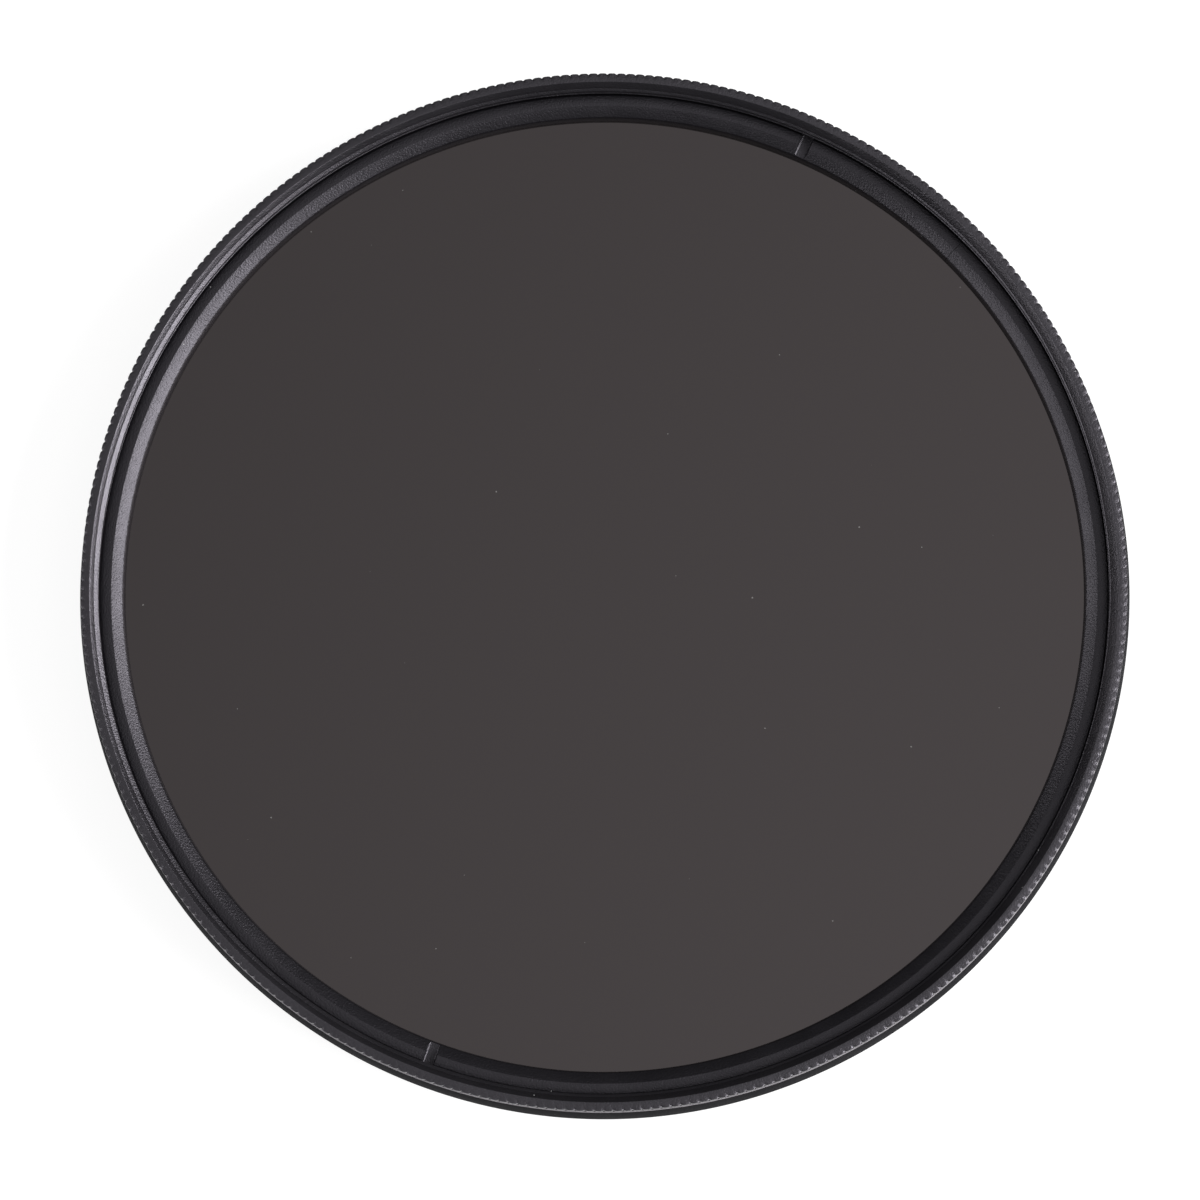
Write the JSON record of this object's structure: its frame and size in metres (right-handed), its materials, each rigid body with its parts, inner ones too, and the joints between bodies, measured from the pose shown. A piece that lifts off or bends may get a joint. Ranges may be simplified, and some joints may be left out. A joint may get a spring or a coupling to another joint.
{
  "type": "screw in lens filter",
  "caption": "Round turning polariser lens filter: knurled front ring with grey glass that rotates in a smooth threaded rear ring, held by a notched retaining ring.",
  "frame": {"origin": "on the optical axis, at the rear end of the male thread, on the surface that the filter stands on", "axes": "+Z along the optical axis towards the front of the filter, +Y through a spanner notch of the retaining ring"},
  "size_m": [0.08, 0.08, 0.0077],
  "materials": {
    "black_anodised": "satin black anodised",
    "spring_steel": "drawn wire",
    "optical_glass": "polished",
    "clear_film": "smooth film",
    "grey_film": "neutral grey film"
  },
  "bodies": {
    "rear": {"rear_ring": "black_anodised", "spring_wire": "spring_steel"},
    "front": {"front_ring": "black_anodised", "rear_glass": "optical_glass", "retarder_film": "clear_film", "polarising_film": "grey_film", "front_glass": "optical_glass", "retaining_ring": "black_anodised"}
  },
  "joints": [
    {"name": "front_turn", "type": "hinge", "parent": "rear", "child": "front", "pos_m": [0, 0, 0.005], "axis": [0, 0, 1], "continuous": true}
  ]
}
